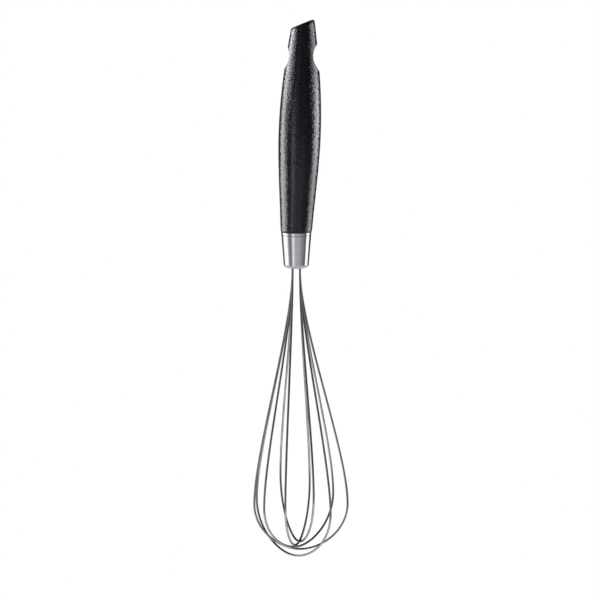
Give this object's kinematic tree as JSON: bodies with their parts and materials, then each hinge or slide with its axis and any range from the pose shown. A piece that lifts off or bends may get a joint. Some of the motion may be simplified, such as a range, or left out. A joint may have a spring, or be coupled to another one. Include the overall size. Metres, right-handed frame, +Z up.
{
  "type": "balloon whisk",
  "caption": "Balloon whisk: a rounded black grip with a slanted top and hang hole, a tapered steel ferrule, and nested springy wire loops.",
  "frame": {"origin": "centre of the hang hole through the top of the handle", "axes": "+Z up the handle, away from the wires; +X along the hang hole, towards the side where the slanted top is higher; the ferrule and balloon hang on an upright axis 2.6 mm to -X"},
  "size_m": [0.0536, 0.0502, 0.2995],
  "materials": {
    "handle_plastic": "satin, fine moulded grain",
    "ferrule_steel": "satin, brushed round the axis",
    "wire_steel": "polished wire",
    "holder_plastic": "moulded",
    "resin": "cast, cloudy"
  },
  "bodies": {
    "root": {"handle": "handle_plastic", "ferrule": "ferrule_steel", "wire_holder": "holder_plastic", "potting_resin": "resin", "wire_loop_1": "wire_steel", "wire_loop_2": "wire_steel", "wire_loop_3": "wire_steel", "wire_loop_4": "wire_steel", "wire_loop_5": "wire_steel"}
  },
  "joints": []
}
